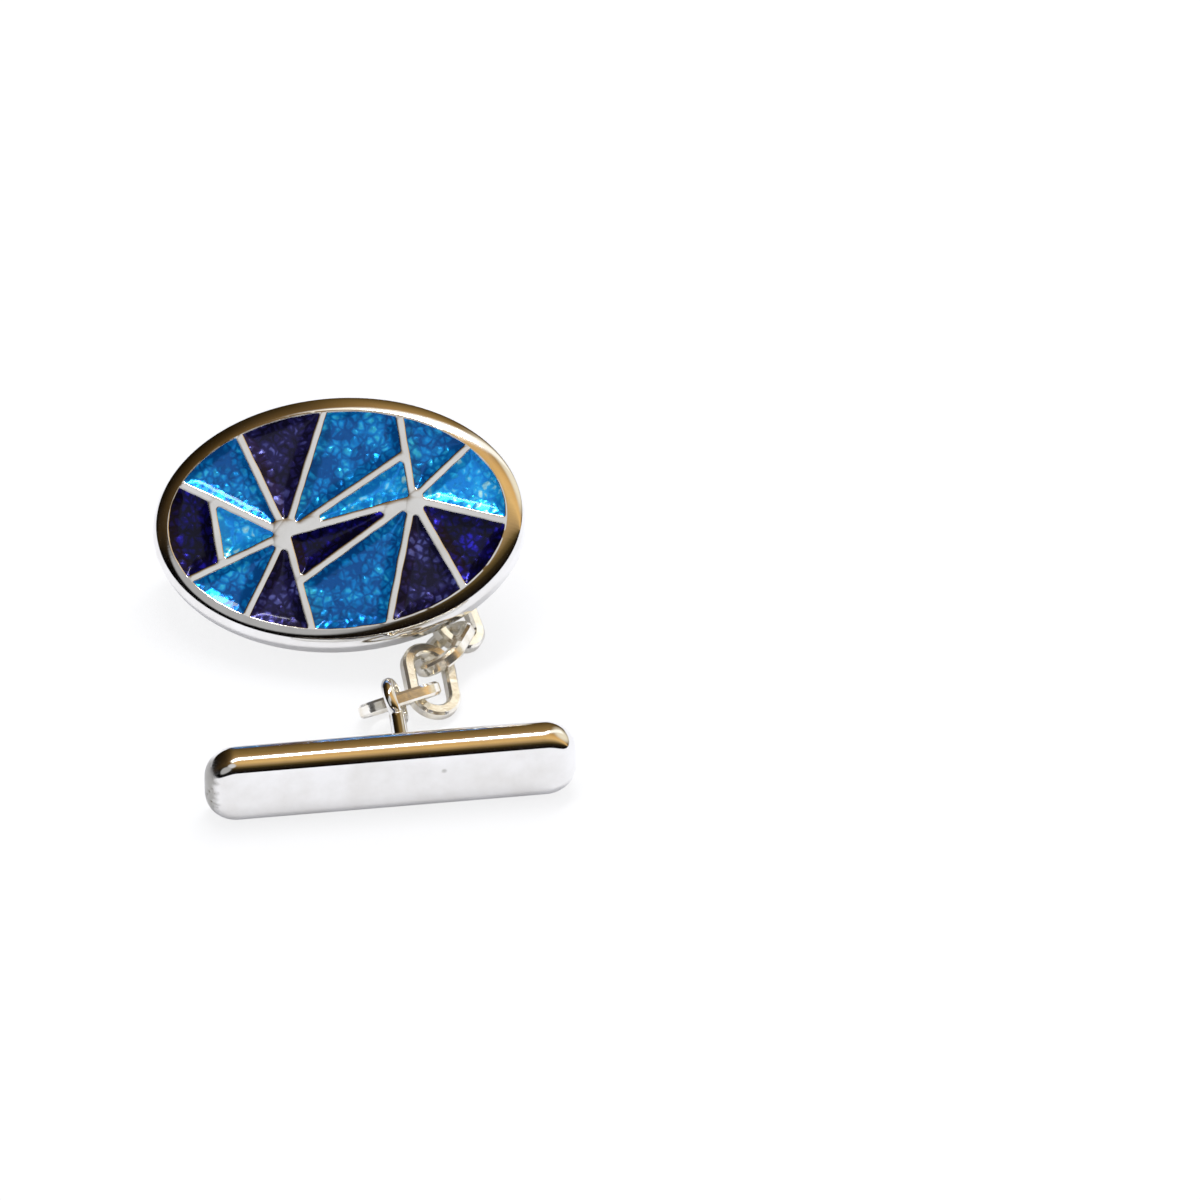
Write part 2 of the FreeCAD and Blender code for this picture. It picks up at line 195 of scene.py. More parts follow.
@dataclass(frozen=True)
class SterlingSilver:
    """Sterling silver, filed or polished: bright, slightly warm, with hairlines and a soft cloud of wear."""

    name: str
    bright: str = "eeedea"
    dull: str = "e2e0db"
    tarnish: str = "5e5848"
    tarnish_share: float = 0.85
    hollow_from: float = 0.497
    hollow_full: float = 0.47
    metal: float = 1.0
    roughness_low: float = 0.03
    roughness_high: float = 0.11
    cloud_mm: float = 2.4
    cloud_range: Point2 = (0.3, 0.7)
    tint_stops: Point2 = (0.32, 0.62)
    hairline_mm: float = 0.09
    hairline_stretch: float = 26.0
    hairline_layers: float = 4.0
    hairline_turns_rad: Point2 = (0.35, -0.6)
    hairline_depth_mm: float = 0.0016
    grain_mm: float = 0.5
    grain_depth_mm: float = 0.0
    cast: str = ""
    cast_roughness: float = 0.34

    def build(self) -> Finish:
        """Makes the material.

        Returns:
            The finished material.
        """
        material, tree = new_material(self.name)
        place = add_node(tree, "TexCoord").outputs["Object"]
        # Handling leaves clouds of duller metal between brighter, rubbed places
        cloud = add_node(
            tree, "TexNoise",
            {"Vector": place, "Scale": per_metre(self.cloud_mm), "Detail": 5.0, "Roughness": 0.6},
        )
        tone = add_node(tree, "ValToRGB", {"Fac": cloud})
        set_ramp(tone, tuple(zip(self.tint_stops, (self.dull, self.bright))))
        gloss = add_node(
            tree, "MapRange",
            {"Value": cloud, "From Min": self.cloud_range[0], "From Max": self.cloud_range[1],
             "To Min": self.roughness_high, "To Max": self.roughness_low},
        )
        if self.cast:
            # Grey casting skin that the polish didn't take off
            share = add_node(tree, "Attribute", attribute_name=CAST_SKIN).outputs["Fac"]
            tone = add_node(tree, "MixRGB", {"Fac": share, "Color1": tone, "Color2": linear(self.cast)})
            gloss = add_node(
                tree, "MapRange", {"Value": share, "To Min": gloss, "To Max": self.cast_roughness},
            )
        # Tarnish that the cloth doesn't reach, in pits and inner corners
        bend = add_node(tree, "NewGeometry").outputs["Pointiness"]
        hollow = add_node(
            tree, "MapRange",
            {"Value": bend, "From Min": self.hollow_from, "From Max": self.hollow_full,
             "To Min": 0.0, "To Max": self.tarnish_share},
        )
        colour = add_node(tree, "MixRGB", {"Fac": hollow, "Color1": tone, "Color2": linear(self.tarnish)})
        # Hairlines from the polishing cloth, drawn coarser than real ones so that they show
        heights, scale = [], per_metre(self.hairline_mm * self.hairline_stretch)
        for turn in self.hairline_turns_rad:
            mapped = add_node(
                tree, "Mapping",
                {"Vector": place, "Rotation": (0.0, 0.0, turn),
                 "Scale": (1.0, self.hairline_stretch, self.hairline_layers)},
            )
            heights.append(add_node(tree, "TexNoise", {"Vector": mapped, "Detail": 2.0, "Scale": scale}))
        lines = add_node(tree, "Math", dict(enumerate(heights)), operation="MULTIPLY")
        bump = add_node(
            tree, "Bump",
            {"Height": lines, "Strength": 1.0, "Distance": self.hairline_depth_mm * MM},
        )
        if self.grain_depth_mm:
            # File marks, as shallow dents
            grain = add_node(
                tree, "TexNoise",
                {"Vector": place, "Scale": per_metre(self.grain_mm), "Detail": 4.0},
            )
            bump = add_node(
                tree, "Bump",
                {"Height": grain, "Strength": 1.0, "Normal": bump, "Distance": self.grain_depth_mm * MM},
            )
        shader = add_node(
            tree, "BsdfPrincipled",
            {"Base Color": colour, "Roughness": gloss, "Normal": bump, "Metallic": self.metal},
        )
        add_node(tree, "OutputMaterial", {"Surface": shader})
        return material


@dataclass(frozen=True)
class FiredEnamel:
    """Glass enamel fired over hammered silver: deep colour, pebbled sparkle below (lit through the bumps,
    with pale glints painted on) and a wet skin above.
    """

    blue: Blue
    pebble_mm: float = 0.42
    pebble_depth_mm: float = 0.06
    pebble_sheen_share: float = 0.15
    stir_size: float = 1.6
    stir_share: float = 0.55
    mottle_mm: float = 1.3
    seam_share: float = 0.2
    seam_width: float = 0.3
    tone_range: Point2 = (0.22, 0.78)
    tone_stops: Point3 = (0.1, 0.5, 0.92)

    def build(self) -> Finish:
        """Makes the material.

        Returns:
            The finished material.
        """
        material, tree = new_material(f"fired_enamel_{self.blue.name.lower()}")
        place = add_node(tree, "TexCoord").outputs["Object"]
        # Pebbles of glass that melted together, seen as cells with darker seams
        stir = add_node(
            tree, "TexNoise",
            {"Vector": place, "Scale": per_metre(self.pebble_mm * self.stir_size), "Detail": 2.0},
        )
        bent = add_node(
            tree, "MixRGB",
            {"Fac": self.pebble_mm * MM * self.stir_share, "Color1": place, "Color2": stir.outputs["Color"]},
            blend_type="LINEAR_LIGHT",
        )
        pebbles = add_node(
            tree, "TexVoronoi",
            {"Vector": bent, "Scale": per_metre(self.pebble_mm), "Smoothness": 1.0}, feature="SMOOTH_F1",
        )
        edges = add_node(
            tree, "TexVoronoi",
            {"Vector": bent, "Scale": per_metre(self.pebble_mm)}, feature="DISTANCE_TO_EDGE",
        )
        seams = add_node(
            tree, "MapRange",
            {"Value": edges, "From Min": 0.0, "From Max": self.seam_width,
             "To Min": -self.seam_share, "To Max": 0.0},
            interpolation_type="SMOOTHSTEP",
        )
        # The glass lies thinner here and thicker there, so light comes back paler or deeper
        mottle = add_node(
            tree, "TexNoise",
            {"Vector": place, "Scale": per_metre(self.mottle_mm), "Detail": 3.0, "Roughness": 0.6},
        )
        seamed = add_node(tree, "Math", {0: mottle, 1: seams}, operation="ADD")
        # Painted reflection: each dent of the silver below gets a lighter or darker tone for the more or less
        # light it sends back
        dents = add_node(tree, "SeparateXYZ", {0: pebbles.outputs["Color"]})
        dent_sheen = add_node(
            tree, "MapRange",
            {"Value": dents, "To Min": -self.pebble_sheen_share / 2, "To Max": self.pebble_sheen_share / 2},
        )
        mottle_and_sheen = add_node(tree, "Math", {0: seamed, 1: dent_sheen}, operation="ADD")
        tone = add_node(
            tree, "MapRange",
            {"Value": mottle_and_sheen, "From Min": self.tone_range[0], "From Max": self.tone_range[1]},
        )
        # Painted sparkle: the brightest tones end in pale glints painted into the glass colour
        colour = add_node(tree, "ValToRGB", {"Fac": tone})
        set_ramp(colour, tuple(zip(self.tone_stops, self.blue.value)))
        bump = add_node(
            tree, "Bump",
            {"Height": pebbles, "Strength": 1.0, "Distance": self.pebble_depth_mm * MM}, invert=True,
        )
        shader = add_node(
            tree, "BsdfPrincipled",
            {"Base Color": colour, "Normal": bump, "Metallic": 0.55, "Roughness": 0.22,
             "Specular IOR Level": 0.1, "Coat Weight": 1.0, "Coat Roughness": 0.02, "Coat IOR": 1.24},
        )
        add_node(tree, "OutputMaterial", {"Surface": shader})
        return material


@dataclass(frozen=True)
class Attitude:
    """How a piece is turned: heading about the upright axis, then dip, then roll about its own length."""

    heading: float
    dip: float
    roll: float

    def matrix(self) -> Matrix:
        """Works out the rotation.

        Returns:
            A 3x3 matrix.
        """
        turns = ((self.heading, "Z"), (self.dip, "Y"), (self.roll, "X"))
        steps = [Matrix.Rotation(math.radians(angle), 3, axis) for angle, axis in turns]
        return steps[0] @ steps[1] @ steps[2]


def seat(node: str, turn: Matrix, level: float) -> Matrix:
    """Place of a piece from the solid that it stands for.

    Args:
        node: Name of the solid.
        turn: Rotation of the piece.
        level: Where the piece's origin lies between the solid's lowest (0) and highest (1) local Z.

    Returns:
        A 4x4 matrix from the piece's millimetres to the model's metres.
    """
    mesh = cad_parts[node].data
    flat = np.empty(len(mesh.vertices) * 3)
    mesh.vertices.foreach_get("co", flat)
    points = flat.reshape(-1, 3) @ np.array(turn) / MM
    low, high = points.min(axis=0), points.max(axis=0)
    middle = (low + high) / 2
    middle[2] = low[2] + (high[2] - low[2]) * level
    return Matrix.Translation(turn @ Vector(middle) * MM) @ turn.to_4x4() @ Matrix.Scale(MM, 4)


def make_piece(
    name: str, shell: Shell, place: Matrix, node: str, body: str, finish: Finish, sharp: float
) -> bpy.types.Object:
    """Makes a closed, smooth piece that stands for a solid and rides on its body.

    Args:
        name: Name of the piece.
        shell: Its vertices and faces, in its own millimetres.
        place: Matrix that sets it in the model.
        node: Name of the solid that it stands for.
        body: Name of the body that it moves with.
        finish: Its material.
        sharp: Edges that bend by more than this angle stay sharp.

    Returns:
        The new object.
    """
    mesh = bpy.data.meshes.new(name)
    mesh.from_pydata(shell[0], [], shell[1])
    work = bmesh.new()
    work.from_mesh(mesh)
    bmesh.ops.remove_doubles(work, verts=work.verts, dist=WELD_MM)
    bmesh.ops.recalc_face_normals(work, faces=work.faces)
    for face in work.faces:
        face.smooth = True
    work.to_mesh(mesh)
    work.free()
    mesh.set_sharp_from_angle(angle=math.radians(sharp))
    mesh.transform(place)
    mesh.materials.append(finish)
    piece = add_object(name, mesh)
    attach(piece, body)
    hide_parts(node)
    LOG.info("%s: %d vertices on %s", name, len(mesh.vertices), body)
    return piece


def join_shells(shells: list[Shell]) -> Shell:
    """Puts several shells into one list of vertices and faces.

    Args:
        shells: The shells to join.

    Returns:
        One shell.
    """
    points: list[Point3] = []
    faces: Faces = []
    for more_points, more_faces in shells:
        start = len(points)
        points.extend(more_points)
        faces.extend(tuple(i + start for i in face) for face in more_faces)
    return points, faces


def skin(rings: list[list[Point3]], closed: bool = False) -> Shell:
    """Joins closed rings of equal count with quads.

    Args:
        rings: Rings of points, one after the other.
        closed: Whether the last ring also joins the first.

    Returns:
        The shell between them.
    """
    count = len(rings[0])
    points = [point for ring in rings for point in ring]
    faces = []
    for r in range(len(rings) if closed else len(rings) - 1):
        here, there = r * count, (r + 1) % len(rings) * count
        for i in range(count):
            j = (i + 1) % count
            faces.append((here + i, here + j, there + j, there + i))
    return points, faces


def quarter_turn(steps: int) -> list[float]:
    """Angles in radians from 0 to a right angle, in even steps."""
    return [math.pi / 2 * k / steps for k in range(steps + 1)]


def circle(radius: float, z: float, count: int) -> list[Point3]:
    """Ring of points round the Z axis at one height."""
    turns = np.linspace(0, 2 * math.pi, count, endpoint=False)
    return [(radius * math.cos(a), radius * math.sin(a), z) for a in turns]


def at_height(outline: np.ndarray, z: float) -> list[Point3]:
    """Outline as a ring of points at one height."""
    return [(float(x), float(y), z) for x, y in outline]


def area(outline: np.ndarray) -> float:
    """Signed area inside a closed outline, positive when it runs anticlockwise."""
    x, y = outline[:, 0], outline[:, 1]
    return float(np.sum(x * np.roll(y, -1) - np.roll(x, -1) * y) / 2)


def outward(outline: np.ndarray) -> np.ndarray:
    """Unit normals that point out of a closed anticlockwise outline.

    Args:
        outline: Points in order.

    Returns:
        One normal per point.
    """
    along = np.roll(outline, -1, axis=0) - np.roll(outline, 1, axis=0)
    normals = np.stack([along[:, 1], -along[:, 0]], axis=1)
    return normals / np.linalg.norm(normals, axis=1)[:, None]


def resample(outline: np.ndarray, spacing: float) -> np.ndarray:
    """Spreads points along a closed outline and keeps its corners.

    Args:
        outline: Corner points in order.
        spacing: Greatest distance between neighbours.

    Returns:
        The denser outline.
    """
    points = []
    for start, end in zip(outline, np.roll(outline, -1, axis=0)):
        steps = max(1, math.ceil(float(np.linalg.norm(end - start)) / spacing))
        points.extend(start + (end - start) * k / steps for k in range(steps))
    return np.array(points)


def inside(points: np.ndarray, outline: np.ndarray) -> np.ndarray:
    """Tells which points lie inside a closed outline.

    Args:
        points: The points to test.
        outline: The outline.

    Returns:
        One truth value per point.
    """
    x, y = points[:, 0:1], points[:, 1:2]
    ax, ay = outline[:, 0], outline[:, 1]
    bx, by = np.roll(ax, -1), np.roll(ay, -1)
    crosses = (ay > y) != (by > y)
    with np.errstate(divide="ignore", invalid="ignore"):
        reach = ax + (y - ay) / (by - ay) * (bx - ax)
    return np.sum(crosses & (x < reach), axis=1) % 2 == 1


def edge_distance(points: np.ndarray, outline: np.ndarray) -> np.ndarray:
    """Distance of each point from a closed outline.

    Args:
        points: The points.
        outline: The outline.

    Returns:
        One distance per point.
    """
    step = np.roll(outline, -1, axis=0) - outline
    gap = points[:, None, :] - outline[None]
    share = np.clip(np.sum(gap * step, axis=2) / np.maximum(np.sum(step * step, axis=1), TINY), 0, 1)
    return np.min(np.linalg.norm(gap - share[:, :, None] * step, axis=2), axis=1)


def fill(outline: np.ndarray, holes: list[np.ndarray], spacing: float) -> tuple[np.ndarray, Faces]:
    """Fills a flat outline with even triangles.

    Args:
        outline: The outer boundary.
        holes: Boundaries of parts left open.
        spacing: Distance between inner points, or 0 for none.

    Returns:
        The points and the triangles between them.
    """
    loops = [outline, *holes]
    points = [Vector(map(float, p)) for loop in loops for p in loop]
    edges, start = [], 0
    for loop in loops:
        edges.extend((start + i, start + (i + 1) % len(loop)) for i in range(len(loop)))
        start += len(loop)
    if spacing:
        low, high = outline.min(axis=0), outline.max(axis=0)
        rows = np.arange(low[1], high[1], spacing * math.sqrt(3) / 2)
        grid = np.array([
            (x + (row % 2) * spacing / 2, y)
            for row, y in enumerate(rows)
            for x in np.arange(low[0], high[0], spacing)
        ])
        keep = inside(grid, outline) & (edge_distance(grid, outline) > spacing * EDGE_CLEAR)
        points.extend(Vector(map(float, p)) for p in grid[keep])
    made = delaunay_2d_cdt(points, edges, [], FILL_INSIDE, WELD_MM)
    flat = np.array([tuple(p) for p in made[0]])
    faces = [tuple(face) for face in made[2]]
    middles = np.array([flat[list(face)].mean(axis=0) for face in faces])
    open_parts = np.zeros(len(faces), dtype=bool)
    for hole in holes:
        open_parts |= inside(middles, hole)
    return flat, [face for face, is_open in zip(faces, open_parts) if not is_open]


def ripple(x: float, y: float, size_mm: float, seed: float) -> float:
    """Smooth waviness from about -1 to 1 with bumps of the given size."""
    return noise.noise(Vector((x / size_mm, y / size_mm, seed)))


@dataclass
class WireEye:
    """Eye of bent wire on a round post, and the solder at the post's foot."""

    carrier: str
    attitude: Attitude
    about_post: float
    post_mm: float
    post_diameter: float = 0.8
    post_rings: int = 24
    ring_bore: float = 1.24
    ring_wire: float = 0.66
    ring_steps: int = 96
    wire_steps: int = 32
    solder_spread: float = 0.3
    solder_height: float = 0.35
    solder_skirt: Point2 = (0.01, 0.004)
    solder_around: int = 48
    solder_steps: int = 10
    voxel: float = 0.03
    smooth_factor: float = 0.5
    smooth_rounds: int = 8

    def place(self) -> Matrix:
        """Works out where the eye stands on the back of its carrier.

        Returns:
            Matrix from the foot of the post to the model, with Z along the post.
        """
        flipped = Matrix.Rotation(math.pi, 3, "X")
        turn = self.attitude.matrix() @ flipped @ Matrix.Rotation(math.radians(self.about_post), 3, "Z")
        return seat(f"{self.carrier}_eye", turn, level=0.0)

    def bent_wire(self) -> Shell:
        """Builds the ring and the post that runs into it.

        Returns:
            The two shells, which cross each other.
        """
        radius, tube = (self.ring_bore + self.ring_wire) / 2, self.ring_wire / 2
        centre = self.post_mm + self.ring_bore / 2 + self.ring_wire
        rings = []
        for i in range(self.ring_steps):
            a = 2 * math.pi * i / self.ring_steps
            ring = []
            for k in range(self.wire_steps):
                b = 2 * math.pi * k / self.wire_steps
                reach = radius + tube * math.cos(b)
                ring.append((tube * math.sin(b), reach * math.sin(a), centre + reach * math.cos(a)))
            rings.append(ring)
        heights = np.linspace(0, self.post_mm + tube, self.post_rings)
        points, faces = skin([circle(self.post_diameter / 2, float(z), self.wire_steps) for z in heights])
        foot, tip = range(self.wire_steps), range(len(points) - self.wire_steps, len(points))
        faces += [tuple(foot)[::-1], tuple(tip)]
        return join_shells([skin(rings, closed=True), (points, faces)])

    def wire(self) -> Shell:
        """Lets ring and post melt together.

        Returns:
            The shell of the eye.
        """
        points, faces = self.bent_wire()
        mesh = bpy.data.meshes.new("eye_work")
        mesh.from_pydata(points, [], faces)
        work = add_object("eye_work", mesh)
        melt = work.modifiers.new("melt", "REMESH")
        melt.mode = "VOXEL"
        melt.voxel_size = self.voxel
        ease = work.modifiers.new("ease", "SMOOTH")
        ease.factor = self.smooth_factor
        ease.iterations = self.smooth_rounds
        made = work.evaluated_get(bpy.context.evaluated_depsgraph_get()).to_mesh()
        shell = [tuple(v.co) for v in made.vertices], [tuple(p.vertices) for p in made.polygons]
        bpy.data.objects.remove(work)
        bpy.data.meshes.remove(mesh)
        return shell

    def solder(self) -> Shell:
        """Builds the hollow-sided collar of solder.

        Returns:
            The shell of the collar.
        """
        inner = self.post_diameter / 2
        skirt_out, skirt_up = self.solder_skirt
        profile = [
            (inner + self.solder_spread * (1 - math.sin(a)) + skirt_out,
             self.solder_height * (1 - math.cos(a)) + skirt_up)
            for a in quarter_turn(self.solder_steps)
        ]
        profile += [(inner, self.solder_height), (inner, 0.0), (profile[0][0], 0.0)]
        return skin([circle(r, z, self.solder_around) for r, z in profile], closed=True)

    def build(self, silver: Finish, solder: Finish) -> None:
        """Makes the eye and its solder.

        Args:
            silver: Finish of the eye.
            solder: Finish of the collar.
        """
        place, body, eye = self.place(), self.carrier, f"{self.carrier}_eye"
        make_piece(f"{eye}_wire", self.wire(), place, eye, body, silver, sharp=80)
        make_piece(f"{eye}_collar", self.solder(), place, f"{eye}_solder", body, solder, sharp=50)


@dataclass
class Head:
    """Oval plate with sunk cells, and the enamel in them."""

    attitude: Attitude
    length: float = 19.0
    width: float = 13.0
    thickness: float = 1.9
    outline_points: int = 256
    border_plan: float = 0.85
    border_drop: float = 0.74
    border_lead: float = 12.0
    border_rings: int = 15
    back_round: float = 0.3
    back_steps: int = 6
    cell_depth: float = 0.6
    cell_spacing: float = 0.1
    top_slack: float = 0.01
    lip: float = 0.05
    lip_steps: int = 4
    wobble: float = 0.03
    wobble_mm: float = 0.8
    wobble_seed: float = 3.7
    meniscus: float = 0.17
    meniscus_reach: float = 0.28
    meniscus_power: float = 1.4
    fill_level: float = -0.185
    swell: float = 0.008
    swell_mm: float = 1.1
    swell_seed_step: float = 7.3
    glass_spacing: float = 0.11
    cells: dict[str, np.ndarray] = field(default_factory=dict)

    def place(self) -> Matrix:
        """Matrix from the middle of the face to the model."""
        return seat("head_plate", self.attitude.matrix(), level=1.0)

    def cell_outline(self, node: str, to_local: Matrix) -> np.ndarray:
        """Reads the outline of a cell from the top of its solid.

        Args:
            node: Name of the solid.
            to_local: Matrix from the model to the plate's own millimetres.

        Returns:
            The outline's corners, anticlockwise.
        """
        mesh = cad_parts[node].data
        local = [to_local @ v.co for v in mesh.vertices]
        top = max(p.z for p in local) - self.top_slack
        keys = [(round(p.x, KEY_DIGITS), round(p.y, KEY_DIGITS)) for p in local]
        sides = []
        for polygon in mesh.polygons:
            if all(local[i].z > top for i in polygon.vertices):
                loop = [keys[i] for i in polygon.vertices]
                sides.extend(zip(loop, loop[1:] + loop[:1]))
        # A side that no other triangle runs back along lies on the outline
        known = set(sides)
        follow = {a: b for a, b in sides if (b, a) not in known}
        start = next(iter(follow))
        loop = [start]
        while follow[loop[-1]] != start:
            loop.append(follow[loop[-1]])
        outline = np.array(loop)
        return outline if area(outline) > 0 else outline[::-1]

    def read_cells(self) -> None:
        """Takes the outline of each cell from its solid, with the slight wobble of hand-cut walls."""
        to_local = self.place().inverted()
        for name in CELL_BLUES:
            outline = resample(self.cell_outline(f"enamel_{name}", to_local), self.cell_spacing)
            shake = [ripple(x, y, self.wobble_mm, self.wobble_seed) for x, y in outline]
            self.cells[name] = outline + outward(outline) * (np.array(shake) * self.wobble)[:, None]

    def oval(self) -> np.ndarray:
        """Works out the outer outline of the plate.

        Returns:
            Its points, anticlockwise.
        """
        t = np.linspace(0, 2 * math.pi, self.outline_points, endpoint=False)
        reach_x, reach_y = self.length / 2 - SKIN_MM, self.width / 2 - SKIN_MM
        return np.stack([reach_x * np.cos(t), reach_y * np.sin(t)], axis=1)

    def plate(self) -> Shell:
        """Builds the plate: domed border, flat walls with eased edges, cells and back.

        Returns:
            The shell of the plate.
        """
        outline = self.oval()
        normal = outward(outline)
        rings = []
        lead = math.radians(self.border_lead)
        for a in np.linspace(lead, math.pi / 2, self.border_rings):
            inset = self.border_plan * (1 - math.sin(a)) / (1 - math.sin(lead))
            drop = self.border_drop * (1 - math.cos(a) / math.cos(lead))
            rings.append(at_height(outline - normal * inset, -drop))
        for a in quarter_turn(self.back_steps):
            inset, rise = self.back_round * (1 - math.cos(a)), self.back_round * (1 - math.sin(a))
            rings.append(at_height(outline - normal * inset, rise - self.thickness))
        shells = [skin(rings)]
        points, faces = fill(np.array([p[:2] for p in rings[-1]]), [], 0.0)
        shells.append((at_height(points, -self.thickness), faces))
        openings = []
        for cell in self.cells.values():
            away = outward(cell)
            wall = [
                at_height(cell + away * self.lip * (1 - math.sin(a)), -self.lip * (1 - math.cos(a)))
                for a in quarter_turn(self.lip_steps)
            ]
            wall.append(at_height(cell, -self.cell_depth))
            shells.append(skin(wall))
            points, faces = fill(cell, [], 0.0)
            shells.append((at_height(points, -self.cell_depth), faces))
            openings.append(cell + away * self.lip)
        points, faces = fill(outline - normal * self.border_plan, openings, 0.0)
        shells.append((at_height(points, 0.0), faces))
        return join_shells(shells)

    def glass_surface(self, points: np.ndarray, cell: np.ndarray, seed: float) -> list[Point3]:
        """Lifts flat points to the surface of the glass, drawn up at the walls and a little uneven.

        Args:
            points: Flat points inside the cell or on its edge.
            cell: Outline of the cell.
            seed: Number that makes its unevenness its own.

        Returns:
            The points on the surface.
        """
        away = (edge_distance(points, cell) / self.meniscus_reach) ** self.meniscus_power
        levels = self.fill_level + self.meniscus * np.exp(-away)
        return [
            (float(x), float(y), float(level) + self.swell * ripple(x, y, self.swell_mm, seed))
            for (x, y), level in zip(points, levels)
        ]

    def glass(self, cell: np.ndarray, seed: float) -> Shell:
        """Builds one fill of enamel.

        Args:
            cell: Outline of the cell.
            seed: Number that makes its unevenness its own.

        Returns:
            The shell of the fill.
        """
        points, faces = fill(cell, [], self.glass_spacing)
        floor, floor_faces = fill(cell, [], 0.0)
        return join_shells([
            (self.glass_surface(points, cell, seed), faces),
            skin([self.glass_surface(cell, cell, seed), at_height(cell, -self.cell_depth)]),
            (at_height(floor, -self.cell_depth), floor_faces),
        ])

    def build(self, silver: Finish, enamels: dict[Blue, Finish]) -> None:
        """Makes the plate and its enamel.

        Args:
            silver: Finish of the plate.
            enamels: Finish of each blue.
        """
        self.read_cells()
        place = self.place()
        make_piece("head_plate_polished", self.plate(), place, "head_plate", "head", silver, sharp=50)
        for number, (name, cell) in enumerate(self.cells.items()):
            shell, finish = self.glass(cell, number * self.swell_seed_step), enamels[CELL_BLUES[name]]
            make_piece(f"enamel_{name}_glass", shell, place, f"enamel_{name}", "head", finish, sharp=60)


@dataclass
class Chain:
    """Six oval links of flattened wire, each closed by a soldered seam."""

    attitudes: list[Attitude]
    length: float = 4.4
    width: float = 2.9
    wire: float = 0.68
    thickness: float = 0.72
    steps: int = 128
    filed_off: float = 0.02
    edge_cut: float = 0.126
    unevenness: float = 0.016
    unevenness_mm: float = 0.5
    unevenness_spread: float = 3.0
    seed_step: float = 5.1
    seam_pinch: float = 0.02
    seam_mm: float = 0.06

    def section(self) -> list[Point2]:
        """Works out the cross-section of the wire: a square whose edges were filed off flat.

        Returns:
            Its corners, each as a distance out of the link and a height.
        """
        half_x, half_z = self.wire / 2 - self.filed_off, self.thickness / 2 - self.filed_off
        corner = [(half_x, half_z - self.edge_cut), (half_x - self.edge_cut, half_z)]
        points = []
        for sx, sz in CORNERS:
            points.extend((sx * x, sz * z) for x, z in corner[::sx * sz])
        return points

    def along(self, run: float, straight: float, radius: float) -> tuple[Vector, Vector]:
        """Point on the middle line of a link.

        Args:
            run: Distance along the line.
            straight: Length of one straight side.
            radius: Radius of the round ends.

        Returns:
            The point and the direction out of the link there.
        """
        bend = math.pi * radius
        if run < straight:
            return Vector((straight / 2 - run, radius)), Vector((0.0, 1.0))
        if run < straight + bend:
            a, middle = math.pi / 2 + (run - straight) / radius, -straight / 2
        elif run < 2 * straight + bend:
            return Vector((-straight / 2 + run - straight - bend, -radius)), Vector((0.0, -1.0))
        else:
            a, middle = -math.pi / 2 + (run - 2 * straight - bend) / radius, straight / 2
        out = Vector((math.cos(a), math.sin(a)))
        return Vector((middle + radius * math.cos(a), radius * math.sin(a))), out

    def link(self, seed: float) -> Shell:
        """Builds one link.

        Args:
            seed: Number that makes its file marks its own.

        Returns:
            The shell of the link.
        """
        radius = (self.width - self.wire) / 2
        straight = self.length - self.width
        total = 2 * straight + 2 * math.pi * radius
        section, spread = self.section(), self.unevenness_spread
        rings = []
        for i in range(self.steps):
            run = total * i / self.steps
            centre, out = self.along(run, straight, radius)
            seam = self.seam_pinch * math.exp(-((run - straight / 2) / self.seam_mm) ** 2)
            ring = []
            for side, height in section:
                wear = ripple(run + side * spread, height * spread + seed, self.unevenness_mm, seed)
                worn = max(0.0, self.unevenness * wear)
                share = 1 - seam / self.wire - worn / self.wire
                x, y = (c + o * side * share for c, o in zip(centre, out))
                ring.append((x, y, height * share))
            rings.append(ring)
        return skin(rings, closed=True)

    def build(self, silver: Finish) -> None:
        """Makes the links.

        Args:
            silver: Their finish.
        """
        for number, attitude in enumerate(self.attitudes, 1):
            node, shell = f"chain_link_{number}", self.link(number * self.seed_step)
            place = seat(node, attitude.matrix(), level=0.5)
            make_piece(f"{node}_filed", shell, place, node, f"link_{number}", silver, sharp=30)


@dataclass(frozen=True)
class Pit:
    """Small casting pit: its middle on the surface, its radius and its depth, drawn wide enough to show."""

    middle: Point3
    radius: float
    depth: float


